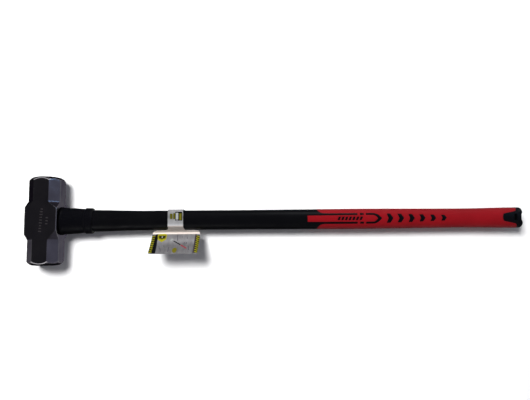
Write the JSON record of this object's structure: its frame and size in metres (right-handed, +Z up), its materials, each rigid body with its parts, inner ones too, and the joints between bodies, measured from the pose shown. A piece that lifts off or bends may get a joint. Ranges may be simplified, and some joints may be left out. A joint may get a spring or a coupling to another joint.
{
  "type": "sledgehammer",
  "caption": "Long-handled sledgehammer: octagonal steel head, black handle with an overstrike collar, red and black soft grip, and a folded paper tag on the shaft.",
  "frame": {"origin": "on the ground, under the middle of the hammer's length, with the head lying on one cheek", "axes": "+X along the handle from the head to the butt, +Y along the head from one striking face to the other, +Z up"},
  "size_m": [0.914, 0.162, 0.0609],
  "materials": {
    "head_steel": "dark polished lacquer",
    "resin": "cast",
    "dam_rubber": "matt",
    "fibreglass": "ground",
    "jacket_black": "satin, moulded",
    "collar_black": "satin, moulded",
    "grip_red": "fine moulded texture",
    "inlay_black": "satin",
    "cap_black": "satin, moulded",
    "tag_card": "coated card",
    "tag_print": "printed coated card"
  },
  "bodies": {
    "hammer": {"hammer_head": "head_steel", "eye_resin": "resin", "resin_dam": "dam_rubber", "core_rod": "fibreglass", "shaft_jacket": "jacket_black", "overstrike_collar": "collar_black", "grip_cover": "grip_red", "grip_outline_upper": "inlay_black", "grip_outline_lower": "inlay_black", "grip_bars_upper": "inlay_black", "grip_bars_lower": "inlay_black", "grip_chevrons_upper": "inlay_black", "grip_chevrons_lower": "inlay_black", "butt_cap": "cap_black"},
    "strap": {"tag_strap": "tag_card"},
    "panel": {"tag_panel": "tag_print"}
  },
  "joints": [
    {"name": "tag_slide", "type": "slide", "parent": "hammer", "child": "strap", "axis": [1, 0, 0], "range_m": [-0.07, 0.215]},
    {"name": "tag_fold", "type": "hinge", "parent": "strap", "child": "panel", "pos_m": [-0.19, -0.024, 0.0275], "axis": [1, 0, 0], "range_deg": [-60, 65]}
  ]
}
